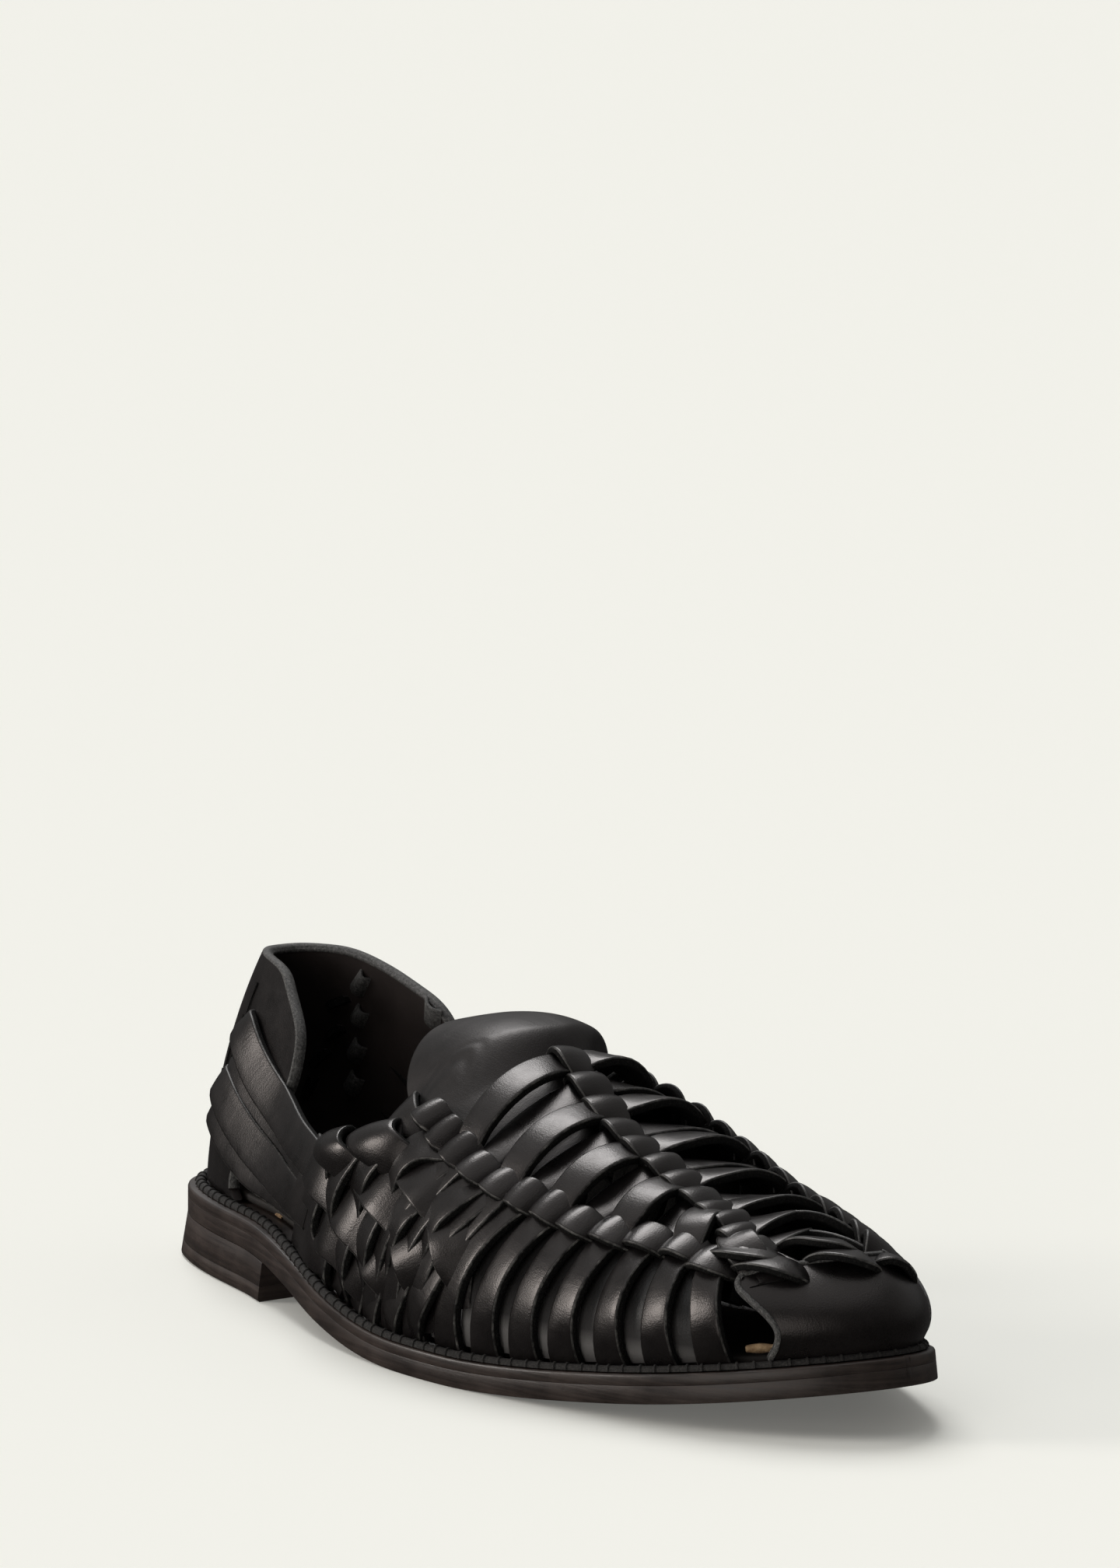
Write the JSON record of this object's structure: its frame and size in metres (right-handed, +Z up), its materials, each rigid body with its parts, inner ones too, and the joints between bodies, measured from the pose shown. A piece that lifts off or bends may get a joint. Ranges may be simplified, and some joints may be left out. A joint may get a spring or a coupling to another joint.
{
  "type": "huarache sandal",
  "caption": "Right slip-on sandal of woven leather straps with a closed toe, high heel counter, tongue, stitched leather sole and low heel.",
  "frame": {"origin": "middle of the sandal's box in plan, on the floor it stands on", "axes": "+X towards the toe, +Y towards the wearer's left, the medial side, +Z up"},
  "size_m": [0.3006, 0.1052, 0.087],
  "materials": {
    "upper_leather": "smooth black leather, satin sheen, with raw grey-black cut edges",
    "sole_leather": "burnished very dark brown sole edge with a fine horizontal grain",
    "heel_leather": "burnished dark brown-black top piece, slightly darker than the block above",
    "welt_thread": "dark waxed thread and fuzzy welt edge",
    "insole_leather": "dark matt insole with a raw tan edge"
  },
  "bodies": {
    "root": {"top_lift": "heel_leather", "heel_block": "sole_leather", "outsole": "sole_leather", "midsole": "sole_leather", "welt": "welt_thread", "insole": "insole_leather", "upper": "upper_leather", "tongue": "upper_leather"}
  },
  "joints": []
}
